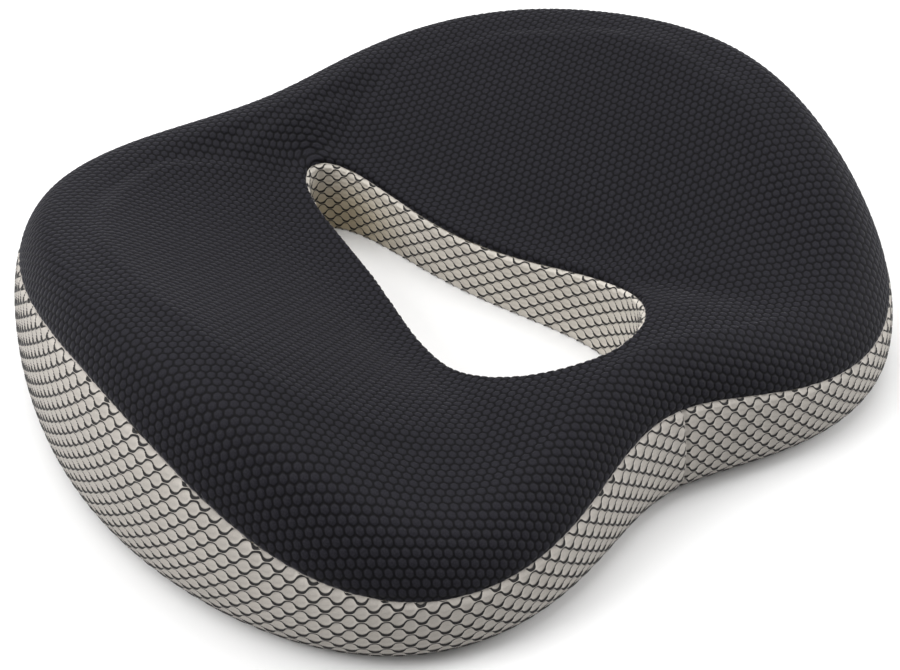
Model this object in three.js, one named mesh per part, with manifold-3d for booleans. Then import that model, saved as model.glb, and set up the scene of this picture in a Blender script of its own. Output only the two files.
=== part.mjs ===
// Contoured ring seat cushion: a moulded foam ring in a zipped mesh cover.
// Millimetres, +Z up, origin on the floor plane at the centre of the footprint.
// +X runs from lobe to lobe, -Y is the front, where the thighs pass over the saddle.
import * as THREE from 'three';
import { mergeVertices } from 'three/addons/utils/BufferGeometryUtils.js';
import Module from 'manifold-3d';

// --- outline and relief: values from the front (-Y) to the back (+Y) in equal steps of angle,
// --- the same on both sides, with a smooth periodic curve through them
const reach = [170, 216, 234, 225, 227, 221, 190];      // centre to the widest line of the side
const crestHeight = [78, 65, 92, 111, 94, 75, 72];      // floor to the crest
const crestInset = [32, 39, 28, 36];                    // widest line to the crest, in plan
const widestLevel = [19, 22, 31];                       // floor to the widest line
const tuckInset = [13, 11, 15];                         // how far the side tucks in at the floor
const seamShare = [0.42, 0.27, 0.53, 0.39, 0.56];       // where the top seam lies on the shoulder, 1 at the crest
const rimHeight = [73, 39, 48];                         // floor to the rim of the hole
const holeHalfWidth = [74, 68, 35, 26, 29];             // scaled by the cosine of the angle
const holeHalfLength = 120;
const rimRadius = 5.5;                                  // rounding of the rim
const footprintCentre = 4;                              // behind the centre of the hole

// --- cover and foam
const coverThickness = 3;                               // spacer fabric of the top, side and hole wall
const baseThickness = 3.4;                              // base fabric with its grip dots
const gap = 0.3;                                        // between pieces that touch
const seamLift = 0.4;                                   // the side band's lower edge above the floor
const rimSeamShare = 0.55;                              // top panel's inner seam on the rim's rounding
const slitWidth = 1;                                    // slit through the foam behind the hole

// --- zip in the underside, straight across behind the hole
const zipPlace = 150;                                   // centre line, behind the centre of the hole
const chainLength = 230;
const slotHalfWidth = 7;                                // opening in the base fabric
const hemWidth = 10;                                    // base fabric folded back along the zip
const hemHeight = 4.4;
const zipEndAllowance = 9;                              // slot past each end of the chain
const tapeThickness = 0.6;
const tapeSetBack = 1;                                  // tape's outer edge inside the hem's
const tapeOverlap = 2;                                  // tape past each end of the slot
const hemOverlap = 4;                                   // hem past each end of the slot
const rowHalfSplit = 0.8;                               // centre line to each row of coil
const rowWidth = 2.2;
const rowThickness = 2;
const plateThickness = 0.8;                             // slider's two plates
const sliderLength = 14;
const sliderRest = 10;                                  // slider's end to the chain's end, zip closed
const sliderHalfWidth = 4.6;
const webWidth = 1;
const webLength = 3;
const flangeWidth = 0.8;
const bridgeLength = 6;                                 // bail that holds the pull tab
const bridgeWidth = 2;
const bridgeBar = 0.7;
const bridgeSpace = 1.5;
const tabLength = 22;
const tabWidth = 5.4;
const tabThickness = 0.9;
const tabEyeLength = 4.6;
const stopLength = 3;
const labelSize = [36, 16, 0.4];
const labelPlace = 55;

const ringSteps = 64;
const frontAngle = -Math.PI / 2;

const wasm = await Module();
wasm.setup();

// Everything is drawn about the centre of the hole; the group puts the footprint's centre at the origin.
const cushion = new THREE.Group();
cushion.position.y = -footprintCentre;

function addMesh(name, geometry, color, roughness, metalness = 0) {
  const mesh = new THREE.Mesh(geometry, new THREE.MeshStandardMaterial({ color, roughness, metalness }));
  mesh.name = name;
  cushion.add(mesh);
  return mesh;
}

// ---------- the ring's surface ----------

// smooth periodic curve through the values, which repeat mirrored on the other side
function around(values, angle) {
  const steps = values.length - 1;
  const count = 2 * steps;
  let sum = 0;
  for (let k = 0; k < count; k += 1) {
    const value = values[k <= steps ? k : count - k];
    const offset = angle - frontAngle - (2 * Math.PI * k) / count;
    const x = offset - 2 * Math.PI * Math.round(offset / (2 * Math.PI));
    if (Math.abs(x) < 1e-9) return value;
    if (Math.abs(Math.abs(x) - Math.PI) > 1e-9) {
      sum += (value * Math.sin((count * x) / 2)) / (count * Math.tan(x / 2));
    }
  }
  return sum;
}

function sidePoint(angle) {
  const r = around(reach, angle);
  return new THREE.Vector2(r * Math.cos(angle), r * Math.sin(angle));
}

// unit vector in plan from the widest line towards the inside of the ring
function inward(angle) {
  const step = 0.002;
  const tangent = sidePoint(angle + step).sub(sidePoint(angle - step)).normalize();
  return new THREE.Vector2(-tangent.y, tangent.x);
}

function holePoint(angle) {
  const x = Math.cos(angle) * around(holeHalfWidth, angle);
  return new THREE.Vector2(x, Math.sin(angle) * holeHalfLength);
}

// Stations across the ring: 0 tuck at the floor, 1 widest line, 2 crest,
// 3 start of the rim's rounding, 4 top of the hole wall, 5 foot of the hole wall.
const rimStart = 3;
function coverPoint(angle, station) {
  const side = sidePoint(angle);
  const normal = inward(angle);
  const widest = around(widestLevel, angle);
  const crest = around(crestHeight, angle);
  if (station <= 1) {
    const turn = (station - 1) * (Math.PI / 2);
    const plan = side.clone().addScaledVector(normal, around(tuckInset, angle) * (1 - Math.cos(turn)));
    return new THREE.Vector3(plan.x, plan.y, seamLift + (widest - seamLift) * (1 + Math.sin(turn)));
  }
  if (station <= 2) {
    const turn = (station - 1) * (Math.PI / 2);
    const plan = side.clone().addScaledVector(normal, around(crestInset, angle) * (1 - Math.cos(turn)));
    return new THREE.Vector3(plan.x, plan.y, widest + (crest - widest) * Math.sin(turn));
  }
  const crestPlan = side.clone().addScaledVector(normal, around(crestInset, angle));
  const hole = holePoint(angle);
  const outward = crestPlan.clone().sub(hole).normalize();
  const rim = around(rimHeight, angle);
  if (station <= rimStart) {
    const share = station - 2;
    const ease = share * share * (3 - 2 * share);
    const plan = crestPlan.lerp(hole.clone().addScaledVector(outward, rimRadius), share);
    return new THREE.Vector3(plan.x, plan.y, crest + (rim - crest) * ease);
  }
  if (station <= 4) {
    const turn = (station - rimStart) * (Math.PI / 2);
    const plan = hole.addScaledVector(outward, rimRadius * (1 - Math.sin(turn)));
    return new THREE.Vector3(plan.x, plan.y, rim - rimRadius * (1 - Math.cos(turn)));
  }
  return new THREE.Vector3(hole.x, hole.y, (rim - rimRadius) * (5 - station));
}

// unit normal of the cover, pointing out of the cushion
function coverNormal(angle, station) {
  const step = 0.004;
  const low = Math.max(0, station - step);
  const high = Math.min(5, station + step);
  const along = coverPoint(angle + step, station).sub(coverPoint(angle - step, station));
  const across = coverPoint(angle, high).sub(coverPoint(angle, low));
  return along.cross(across).normalize();
}

function depthPoint(angle, station, depth) {
  return coverPoint(angle, station).addScaledVector(coverNormal(angle, station), -depth);
}

// station that lies a distance past another one
function past(angle, station, distance) {
  const step = 0.004;
  const speed = coverPoint(angle, station + step).distanceTo(coverPoint(angle, station - step)) / (2 * step);
  return station + distance / speed;
}

function seamStation(angle) {
  return 1 + around(seamShare, angle);
}

const rimSeam = rimStart + rimSeamShare;

// station at which the hole wall has a height above the floor
function wallStation(angle, height) {
  return 5 - height / (around(rimHeight, angle) - rimRadius);
}

function spread(from, to, steps) {
  return Array.from({ length: steps + 1 }, (_, k) => from + ((to - from) * k) / steps);
}

// ---------- solids ----------

// closed solid swept round the ring from a loop of points at each angle; where the loop runs
// back along itself, from returnAt on, the facets are split the other way and so stay parallel
function ringSolid(loopAt, returnAt = Infinity) {
  const loops = Array.from({ length: ringSteps }, (_, k) => loopAt((2 * Math.PI * k) / ringSteps));
  const size = loops[0].length;
  const index = [];
  for (let i = 0; i < ringSteps; i += 1) {
    const next = (i + 1) % ringSteps;
    for (let j = 0; j < size; j += 1) {
      const up = (j + 1) % size;
      const [a, b, c, d] = [i * size + j, next * size + j, next * size + up, i * size + up];
      index.push(...(j < returnAt ? [a, b, c, a, c, d] : [a, b, d, b, c, d]));
    }
  }
  const geometry = new THREE.BufferGeometry();
  geometry.setAttribute('position', new THREE.Float32BufferAttribute(loops.flat().flatMap((p) => p.toArray()), 3));
  geometry.setIndex(index);
  return geometry;
}

// sheet of fabric between two depths over a run of stations
function ringSheet(stationsAt) {
  const sheetLoop = (angle) => {
    const stations = stationsAt(angle);
    const outer = stations.map((s) => depthPoint(angle, s, 0));
    const inner = stations.map((s) => depthPoint(angle, s, coverThickness));
    return [...outer, ...inner.reverse()];
  };
  return ringSolid(sheetLoop, stationsAt(0).length);
}

function toSolid(geometry) {
  const bare = geometry.clone();
  bare.deleteAttribute('normal');
  bare.deleteAttribute('uv');
  const merged = mergeVertices(bare);
  return new wasm.Manifold(new wasm.Mesh({
    numProp: 3,
    vertProperties: new Float32Array(merged.attributes.position.array),
    triVerts: new Uint32Array(merged.index.array),
  }));
}

function toGeometry(solid) {
  const mesh = solid.getMesh();
  const geometry = new THREE.BufferGeometry();
  geometry.setAttribute('position', new THREE.BufferAttribute(mesh.vertProperties, 3));
  geometry.setIndex(new THREE.BufferAttribute(mesh.triVerts, 1));
  return geometry;
}

// box between two corners
function box(low, high) {
  const size = high.map((value, k) => value - low[k]);
  const geometry = new THREE.BoxGeometry(...size);
  geometry.translate((low[0] + high[0]) / 2, (low[1] + high[1]) / 2, (low[2] + high[2]) / 2);
  return geometry;
}

function boxSolid(low, high) {
  return toSolid(box(low, high));
}

function cut(geometry, ...tools) {
  return toGeometry(tools.reduce((solid, tool) => solid.subtract(tool), toSolid(geometry)));
}

function join(first, ...others) {
  return toGeometry(others.reduce((solid, other) => solid.add(toSolid(other)), toSolid(first)));
}

function keepInside(geometry, limit) {
  return toGeometry(toSolid(geometry).intersect(toSolid(limit)));
}

// ---------- cover ----------

const blackMesh = 0x26272b;
const greyMesh = 0xc9c3ba;
const far = 400;                                        // past the cushion on any side

function topPanel() {
  return ringSheet((angle) => {
    const start = past(angle, seamStation(angle), gap / 2);
    const end = past(angle, rimSeam, -gap / 2);
    return [
      ...spread(start, 2, 3),
      ...spread(2, rimStart, 6).slice(1),
      ...spread(rimStart, end, 2).slice(1),
    ];
  });
}

// outer wall, whose two ends meet at the front
function sideBand() {
  const band = ringSheet((angle) => {
    const end = past(angle, seamStation(angle), -gap / 2);
    return [...spread(0, 1, 3), ...spread(1, end, 2).slice(1)];
  });
  return cut(band, boxSolid([-gap / 2, -far, -1], [gap / 2, 0, far]));
}

function holeBand() {
  return ringSheet((angle) => {
    const start = past(angle, rimSeam, gap / 2);
    return [start, 4, ...spread(4, wallStation(angle, baseThickness + gap), 2).slice(1)];
  });
}

// ---------- base ----------

const slotHalfLength = chainLength / 2 + zipEndAllowance;
const hemEnd = slotHalfLength + hemOverlap;

// flat ring between the side band's lower edge and the hole
function baseRing(height) {
  return ringSolid((angle) => {
    const outer = sidePoint(angle).addScaledVector(inward(angle), around(tuckInset, angle) + gap);
    const inner = holePoint(angle);
    return [
      new THREE.Vector3(outer.x, outer.y, 0),
      new THREE.Vector3(outer.x, outer.y, height),
      new THREE.Vector3(inner.x, inner.y, height),
      new THREE.Vector3(inner.x, inner.y, 0),
    ];
  });
}

// one side of the base, with its edge hemmed along the zip; side is -1 in front and 1 behind
function basePiece(side) {
  const edge = zipPlace + (side * gap) / 2;
  const otherSide = side < 0 ? [edge, far] : [-far, edge];
  const hemNear = zipPlace + side * slotHalfWidth;
  const hemFar = zipPlace + side * (slotHalfWidth + hemWidth);
  const hem = keepInside(
    box(
      [-hemEnd, Math.min(hemNear, hemFar), baseThickness / 2],
      [hemEnd, Math.max(hemNear, hemFar), hemHeight],
    ),
    baseRing(hemHeight),
  );
  return cut(
    join(baseRing(baseThickness), hem),
    boxSolid([-far, otherSide[0], -1], [far, otherSide[1], far]),
    boxSolid([-slotHalfLength, zipPlace - slotHalfWidth, -1], [slotHalfLength, zipPlace + slotHalfWidth, far]),
  );
}

// ---------- foam ----------

const tapeLow = hemHeight + gap;
const chainLow = tapeLow + tapeThickness / 2 - rowThickness / 2;
const chainHigh = chainLow + rowThickness;
const sliderTop = chainHigh + gap + plateThickness;
const labelLow = sliderTop + gap;
const channelHigh = labelLow + labelSize[2] + gap;

const foamFloor = Math.max(baseThickness, seamLift + coverThickness) + gap;

function foamCore() {
  const depth = coverThickness + gap;
  const ring = ringSolid((angle) => {
    const seam = seamStation(angle);
    const stations = [
      ...spread(0, 1, 3),
      ...spread(1, seam, 2).slice(1),
      ...spread(seam, 2, 3).slice(1),
      ...spread(2, rimStart, 6).slice(1),
      ...spread(rimStart, rimSeam, 2).slice(1),
      ...spread(4, wallStation(angle, foamFloor), 2),
    ];
    const points = stations.map((s) => depthPoint(angle, s, depth));
    points[0].z = foamFloor;
    return points;
  });
  const channelHalf = slotHalfWidth + hemWidth + gap;
  return cut(
    ring,
    boxSolid([-hemEnd - gap, zipPlace - channelHalf, -1], [hemEnd + gap, zipPlace + channelHalf, channelHigh]),
    boxSolid([-slitWidth / 2, 0, -1], [slitWidth / 2, far, far]),
  );
}

// ---------- zip ----------

const chainHalf = chainLength / 2;
const tapeNear = rowHalfSplit + rowWidth + gap;

function zipTape(side) {
  const near = zipPlace + side * tapeNear;
  const edge = zipPlace + side * (slotHalfWidth + hemWidth - tapeSetBack);
  const tape = box(
    [-slotHalfLength - tapeOverlap, Math.min(near, edge), tapeLow],
    [slotHalfLength + tapeOverlap, Math.max(near, edge), tapeLow + tapeThickness],
  );
  return keepInside(tape, baseRing(foamFloor + hemHeight));
}

function zipRow(side) {
  const near = zipPlace + side * rowHalfSplit;
  const edge = zipPlace + side * (rowHalfSplit + rowWidth);
  return box([-chainHalf, Math.min(near, edge), chainLow], [chainHalf, Math.max(near, edge), chainHigh]);
}

// stop past the end of the chain; halves is [-1, 1] where one piece clamps both rows
function zipStop(end, halves) {
  const inner = end * (chainHalf + gap);
  const outer = end * (chainHalf + gap + stopLength);
  const reachOut = rowHalfSplit + rowWidth;
  const low = halves.includes(-1) ? -reachOut : rowHalfSplit;
  const high = halves.includes(1) ? reachOut : -rowHalfSplit;
  return box(
    [Math.min(inner, outer), zipPlace + low, chainLow],
    [Math.max(inner, outer), zipPlace + high, chainHigh],
  );
}

const lowerPlateHigh = chainLow - gap;
const lowerPlateLow = lowerPlateHigh - plateThickness;
const sliderPlace = chainHalf - sliderRest - sliderLength / 2;   // slider's centre, zip closed
const tabAxis = lowerPlateLow - bridgeSpace / 2;
const bridgeLow = lowerPlateLow - bridgeSpace - bridgeBar;

// block of the slider, symmetric about the zip's centre line, x counted from the slider's centre
function sliderBlock(fromX, toX, halfWidth, low, high) {
  return box(
    [sliderPlace + fromX, zipPlace - halfWidth, low],
    [sliderPlace + toX, zipPlace + halfWidth, high],
  );
}

function flange(side, low, high) {
  const near = zipPlace + side * (sliderHalfWidth - flangeWidth);
  const edge = zipPlace + side * sliderHalfWidth;
  const half = sliderLength / 2;
  return box(
    [sliderPlace - half, Math.min(near, edge), low],
    [sliderPlace + half, Math.max(near, edge), high],
  );
}

function zipSlider() {
  const half = sliderLength / 2;
  const sink = plateThickness / 2;                      // pieces of the slider run into its plates
  const lowerPlate = sliderBlock(-half, half, sliderHalfWidth, lowerPlateLow, lowerPlateHigh);
  const upperPlate = sliderBlock(-half, half, sliderHalfWidth, chainHigh + gap, sliderTop);
  const web = sliderBlock(half - webLength, half, webWidth / 2, lowerPlateLow, sliderTop);
  const bar = sliderBlock(-bridgeLength / 2, bridgeLength / 2, bridgeWidth / 2, bridgeLow, bridgeLow + bridgeBar);
  const posts = [-1, 1].map((end) => {
    const outer = (end * bridgeLength) / 2;
    const inner = outer - end * bridgeBar;
    const from = Math.min(inner, outer);
    return sliderBlock(from, from + bridgeBar, bridgeWidth / 2, bridgeLow, lowerPlateLow + sink);
  });
  const flanges = [-1, 1].flatMap((side) => [
    flange(side, lowerPlateLow, tapeLow - gap),
    flange(side, tapeLow + tapeThickness + gap, sliderTop),
  ]);
  return join(lowerPlate, upperPlate, web, bar, ...posts, ...flanges);
}

// pull tab lying back along the closed chain, its eye round the bridge
function zipPullTab() {
  const outline = new THREE.Shape();
  const half = tabWidth / 2;
  const cross = tabThickness / 2;
  outline.moveTo(cross, -half);
  outline.lineTo(cross, half);
  outline.lineTo(-tabLength + half, half);
  outline.absarc(-tabLength + half, 0, half, Math.PI / 2, (3 * Math.PI) / 2, false);
  outline.closePath();
  const eye = new THREE.Path();
  const eyeHalf = bridgeWidth / 2 + gap;
  eye.moveTo(-cross, -eyeHalf);
  eye.lineTo(-cross, eyeHalf);
  eye.lineTo(-tabEyeLength, eyeHalf);
  eye.lineTo(-tabEyeLength, -eyeHalf);
  eye.closePath();
  outline.holes.push(eye);
  const tab = new THREE.ExtrudeGeometry(outline, { depth: tabThickness, bevelEnabled: false, curveSegments: 6 });
  tab.translate(sliderPlace, zipPlace, tabAxis - tabThickness / 2);
  return tab;
}

function careLabel() {
  const [length, width, thickness] = labelSize;
  return box(
    [labelPlace - length / 2, zipPlace - width / 2, labelLow],
    [labelPlace + length / 2, zipPlace + width / 2, labelLow + thickness],
  );
}

addMesh('foam_core', foamCore(), 0xe8dfc6, 0.9);
addMesh('top_panel', topPanel(), blackMesh, 0.85);
addMesh('side_band', sideBand(), greyMesh, 0.8);
addMesh('hole_band', holeBand(), greyMesh, 0.8);
addMesh('base_panel', basePiece(-1), 0x1d1d1f, 0.9);
addMesh('rear_base_strip', basePiece(1), 0x1d1d1f, 0.9);
addMesh('zip_tape_front', zipTape(-1), 0x18181a, 0.85);
addMesh('zip_tape_rear', zipTape(1), 0x18181a, 0.85);
addMesh('zip_coil_front', zipRow(-1), 0x121214, 0.45);
addMesh('zip_coil_rear', zipRow(1), 0x121214, 0.45);
addMesh('zip_bottom_stop', zipStop(-1, [-1, 1]), 0x9a9a9c, 0.35, 1);
addMesh('zip_top_stop_front', zipStop(1, [-1]), 0x9a9a9c, 0.35, 1);
addMesh('zip_top_stop_rear', zipStop(1, [1]), 0x9a9a9c, 0.35, 1);
addMesh('zip_slider', zipSlider(), 0x2a2a2c, 0.4, 1);
addMesh('zip_pull_tab', zipPullTab(), 0x2a2a2c, 0.4, 1);
addMesh('care_label', careLabel(), 0xf2f2f0, 0.7);

export default cushion;
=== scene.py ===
import math
import bpy
import numpy as np
from mathutils import Matrix, Vector


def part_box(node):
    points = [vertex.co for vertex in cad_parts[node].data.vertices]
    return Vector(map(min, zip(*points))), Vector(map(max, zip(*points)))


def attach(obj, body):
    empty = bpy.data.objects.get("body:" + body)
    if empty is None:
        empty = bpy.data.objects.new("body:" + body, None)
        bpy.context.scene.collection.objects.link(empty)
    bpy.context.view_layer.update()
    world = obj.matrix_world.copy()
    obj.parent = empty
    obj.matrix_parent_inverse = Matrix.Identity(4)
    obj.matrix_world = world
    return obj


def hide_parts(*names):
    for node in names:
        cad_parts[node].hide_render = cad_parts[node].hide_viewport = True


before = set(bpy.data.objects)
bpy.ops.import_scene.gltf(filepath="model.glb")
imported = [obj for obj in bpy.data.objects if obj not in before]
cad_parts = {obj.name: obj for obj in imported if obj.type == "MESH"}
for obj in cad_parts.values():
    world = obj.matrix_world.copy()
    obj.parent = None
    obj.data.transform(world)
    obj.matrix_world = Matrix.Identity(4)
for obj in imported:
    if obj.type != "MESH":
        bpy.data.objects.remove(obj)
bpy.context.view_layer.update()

mm = 0.001

# ---- the ring, as tables from the front (-Y) to the back (+Y) in equal turns, in millimetres
ring = {
    "reach": (170, 216, 234, 225, 227, 221, 190),      # centre of the hole to the widest line of the side
    "crestHeight": (78, 65, 92, 111, 94, 75, 72),      # floor to the crest
    "crestInset": (32, 39, 28, 36),                    # widest line to the crest, in plan
    "widestLevel": (19, 22, 31),                       # floor to the widest line
    "tuckInset": (13, 11, 15),                         # how far the side tucks in at the floor
    "seamShare": (0.42, 0.27, 0.53, 0.39, 0.56),       # top seam on the shoulder, 1 at the crest
    "rimHeight": (73, 39, 48),                         # floor to the rim of the hole
    "holeHalfWidth": (74, 68, 35, 26, 29),             # times the cosine of the angle
    "holeHalfLength": 120,
    "rimRadius": 5.5,
    "rimSeam": 0.55,                                   # inner seam on the rim's rounding
    "seamLift": 0.4,                                   # side's lower edge above the floor
    "slopeEase": 0.2,                                  # share of the slope that bends, at each end
    "nominalWidth": 450,
    "sideStretch": (8.9, 9.8, 11.4, 11.5, 11.5, 10.6, 10),     # bead pitch where the mesh is pulled
    "sideRowHigh": (4.3, 4.3, 4.9, 4.8, 4.8, 4.6, 4.4),        # row spacing at the top seam
    "sideRowLow": (4.2, 4.0, 3.5, 2.9, 2.9, 3.4, 3.8),         # and at the lower edge
    "holeStretch": (10, 9.6, 10.2, 11, 11, 9.4, 8.4),
}
sideLow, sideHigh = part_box("side_band")
holeLow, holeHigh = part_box("hole_band")
ringScale = (sideHigh[0] - sideLow[0]) / ring["nominalWidth"]     # metres for one table unit
holeCentre = (holeLow[1] + holeHigh[1]) / 2                       # the tables count from here
frontTurn = -math.pi / 2


def unit(vectors):
    # each vector divided by its own length
    return vectors / np.maximum(np.linalg.norm(vectors, axis=-1, keepdims=True), 1e-12)


def around(name, turn):
    # smooth closed curve through a table's values: each value times a periodic bump that is 1 at its own
    # angle and 0 at the others, the values mirrored on the other side of the front-back line
    values = np.array(ring[name], float)
    every = np.concatenate([values, values[-2:0:-1]])
    count = len(every)
    apart = np.asarray(turn)[..., None] - frontTurn - np.arange(count) * 2 * math.pi / count
    apart = (apart + math.pi) % (2 * math.pi) - math.pi
    safe = np.where(np.abs(apart) < 1e-7, 1e-7, apart)
    bump = np.sin(count * safe / 2) / (count * np.tan(safe / 2))
    return (bump * every).sum(-1)


def sideCurve(turn):
    return np.stack([around("reach", turn) * np.cos(turn), around("reach", turn) * np.sin(turn)], -1)


def coverSurface(turn, station):
    # point of the cover at each turn (n) and station (n, m), in metres. Stations: 0 tuck at the floor,
    # 1 widest line, 2 crest, 3 start of the rim's rounding, 4 top of the hole wall, 5 its foot. 0 to 2 are
    # quarter ellipses, 2 to 3 a straight run in plan whose height falls from crest to rim, evenly but for a
    # parabola at each end, 3 to 4 a quarter circle
    turn = turn[:, None]
    side = sideCurve(turn)
    tangent = unit(sideCurve(turn + 0.002) - sideCurve(turn - 0.002))
    inward = np.stack([-tangent[..., 1], tangent[..., 0]], -1)
    widest, crest, rim = (around(name, turn) for name in ("widestLevel", "crestHeight", "rimHeight"))
    crestPlan = side + inward * around("crestInset", turn)[..., None]
    hole = np.stack([np.cos(turn) * around("holeHalfWidth", turn), np.sin(turn) * ring["holeHalfLength"]], -1)
    outward = unit(crestPlan - hole)
    radius = ring["rimRadius"]
    quarter = (np.clip(station, 0, 2) - 1) * math.pi / 2
    inset = np.where(station <= 1, around("tuckInset", turn), around("crestInset", turn))
    inset = inset * (1 - np.cos(quarter))
    height = np.where(station <= 1, ring["seamLift"] + (widest - ring["seamLift"]) * (1 + np.sin(quarter)),
                      widest + (crest - widest) * np.sin(quarter))
    plan = side + inward * inset[..., None]
    share = np.clip(station - 2, 0, 1)
    bend = ring["slopeEase"]
    straight = np.clip(share - bend, 0, 1 - 2 * bend) + bend / 2
    curved = (np.minimum(share, bend) ** 2 - np.minimum(1 - share, bend) ** 2) / (2 * bend)
    ease = (straight + curved) / (1 - bend)
    slopePlan = crestPlan + (hole + outward * radius - crestPlan) * share[..., None]
    rimTurn = np.clip(station - 3, 0, 1) * math.pi / 2
    rimPlan = hole + outward * (radius * (1 - np.sin(rimTurn)))[..., None]
    wallShare = np.clip(5 - station, 0, 1)
    onSlope, onRim, onWall = station > 2, station > 3, station > 4
    plan = np.where(onSlope[..., None], slopePlan, plan)
    plan = np.where(onRim[..., None], rimPlan, plan)
    height = np.where(onSlope, crest + (rim - crest) * ease, height)
    height = np.where(onRim, rim - radius * (1 - np.cos(rimTurn)), height)
    height = np.where(onWall, (rim - radius) * wallShare, height)
    points = np.concatenate([plan, height[..., None]], -1) * ringScale
    points[..., 1] += holeCentre
    return points


def gridNormals(points, closed=True):
    # unit normal at each grid point: the step round the ring crossed with the step across it
    if closed:
        along = np.roll(points, -1, 0) - np.roll(points, 1, 0)
    else:
        along = np.gradient(points, axis=0)
    return unit(np.cross(along, np.gradient(points, axis=1)))


def lengthAcross(points):
    # distance along each line across the ring, from its first point
    steps = np.linalg.norm(np.diff(points, axis=1), axis=-1)
    return np.concatenate([np.zeros((len(points), 1)), np.cumsum(steps, 1)], 1)


def evenTurns(count, station, start):
    # turns whose points at one station lie the same distance apart along the ring, from a start turn
    fine = start + np.linspace(0, 2 * math.pi, 2881)
    line = coverSurface(fine, np.full((len(fine), 1), float(station)))[:, 0]
    run = np.concatenate([[0], np.cumsum(np.linalg.norm(np.diff(line, axis=0), axis=1))])
    return np.interp(np.arange(count) / count * run[-1], run, fine), run[-1]


# ---- meshes

def placed(name, data):
    # new object in the scene, left at the origin
    item = bpy.data.objects.new(name, data)
    bpy.context.collection.objects.link(item)
    return item


def quads(*corners):
    # list of four-sided faces from four equal arrays of vertex numbers
    return np.stack(corners, -1).reshape(-1, 4)


def makeMesh(name, points, faceSets, uv=None, smooth=True):
    # object from an array of points and a list of index arrays, one for each number of corners
    mesh = bpy.data.meshes.new(name)
    faceSets = [np.asarray(faces, np.int32) for faces in faceSets if len(faces)]
    corners = np.concatenate([faces.ravel() for faces in faceSets])
    sizes = np.concatenate([np.full(len(faces), faces.shape[1], np.int32) for faces in faceSets])
    starts = np.concatenate([[0], np.cumsum(sizes)[:-1]]).astype(np.int32)
    mesh.vertices.add(len(points))
    mesh.vertices.foreach_set("co", np.asarray(points, np.float32).ravel())
    mesh.loops.add(len(corners))
    mesh.loops.foreach_set("vertex_index", corners)
    mesh.polygons.add(len(sizes))
    mesh.polygons.foreach_set("loop_start", starts)
    mesh.polygons.foreach_set("use_smooth", np.full(len(sizes), smooth))
    mesh.update(calc_edges=True)
    if uv is not None:
        layer = mesh.uv_layers.new(name="cloth")
        layer.data.foreach_set("uv", np.asarray(uv, np.float32).ravel())
    mesh.validate()
    return placed(name, mesh)


def meshPoints(piece):
    points = np.empty(len(piece.data.vertices) * 3, np.float32)
    piece.data.vertices.foreach_get("co", points)
    return points.reshape(-1, 3)


def movePoints(piece, points):
    piece.data.vertices.foreach_set("co", points.ravel())
    piece.data.update()


def closedSheet(name, outer, uvGrid, thickness, coarse):
    # closed sheet of fabric round the ring: a fine outer face (n, m), a coarse inner face one thickness below
    # it, and strips of many-sided faces that join the fine edge to the coarse one
    count, across = outer.shape[:2]
    normal = gridNormals(outer)
    inner = (outer - normal * thickness)[::coarse, ::coarse]
    few, fewAcross = inner.shape[:2]
    points = np.concatenate([outer.reshape(-1, 3), inner.reshape(-1, 3)])
    grid = np.arange(count * across).reshape(count, across)
    back = count * across + np.arange(few * fewAcross).reshape(few, fewAcross)
    nextGrid, nextBack = np.roll(grid, -1, 0), np.roll(back, -1, 0)
    front = quads(grid[:, :-1], nextGrid[:, :-1], nextGrid[:, 1:], grid[:, 1:])
    rear = quads(back[:, :-1], back[:, 1:], nextBack[:, 1:], nextBack[:, :-1])
    run = (np.arange(few)[:, None] * coarse + np.arange(coarse + 1)) % count
    lowStrip = np.concatenate([grid[run[:, ::-1], 0], back[:, :1], nextBack[:, :1]], 1)
    highStrip = np.concatenate([grid[run, -1], nextBack[:, -1:], back[:, -1:]], 1)
    u, v = uvGrid[..., 0], uvGrid[..., 1]                # n + 1 columns, so the last face ends the strip
    frontUv = np.stack([np.stack([c[:-1, :-1], c[1:, :-1], c[1:, 1:], c[:-1, 1:]], -1) for c in (u, v)], -1)
    others = np.zeros((rear.size + lowStrip.size + highStrip.size, 2))
    uv = np.concatenate([frontUv.reshape(-1, 2), others])
    return makeMesh(name, points, [front, rear, lowStrip, highStrip], uv)


# ---- weave patterns as relief, in metres

bead = {
    "pitch": 10 * mm,        # along a row
    "row": 4.2 * mm,         # between border lines
    "swell": 1.62 * mm,      # swing of each border line
    "neckLine": 0.42 * mm,   # dark border, beside a neck
    "beadLine": 0.68 * mm,   # and down the side of a bead
    "relief": 0.95 * mm,     # from the sunk edge of a bead up to the raised necks
    "wall": 1.1 * mm,        # distance over which the side of a bead drops
    "crown": 0.55,           # how far the middle of a bead comes back up, as a share of the relief
}
cell = {
    "pitch": 4.5 * mm,       # between cell centres
    "gap": 1.05 * mm,        # dark channel between cells
    "relief": 0.42 * mm,
    "shoulder": 0.88,        # the cloth is stretched by the inverse of this beyond the crest
}


def wave(phase):
    # a cosine with its tops flattened, so that beads come out round and necks straight
    return np.tanh(1.5 * np.cos(phase)) / math.tanh(1.5)


def beadRelief(s, t):
    # 1 on the raised necks and border lines; each round bead between them drops by a smooth step over the
    # wall and comes partly back up towards its middle. Even lines swing up where the odd ones swing down
    beat = wave(2 * math.pi * s / bead["pitch"])
    swing = bead["swell"] * beat
    double = 2 * bead["row"]
    even = (t - swing + bead["row"]) % double - bead["row"]
    odd = (t + swing) % double - bead["row"]
    near = np.minimum(np.abs(even), np.abs(odd))
    aboveEven = np.where(np.abs(even) < np.abs(odd), even > 0, odd < 0)
    bulge = 0.5 + 0.5 * np.where(aboveEven, -beat, beat)
    drop = np.clip(near / bead["wall"], 0, 1)
    drop = drop * drop * (3 - 2 * drop)
    middle = np.clip(near / (bead["row"] / 2 + bead["swell"]), 0, 1) ** 2
    return 1 - bulge * (drop - bead["crown"] * middle)


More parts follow.
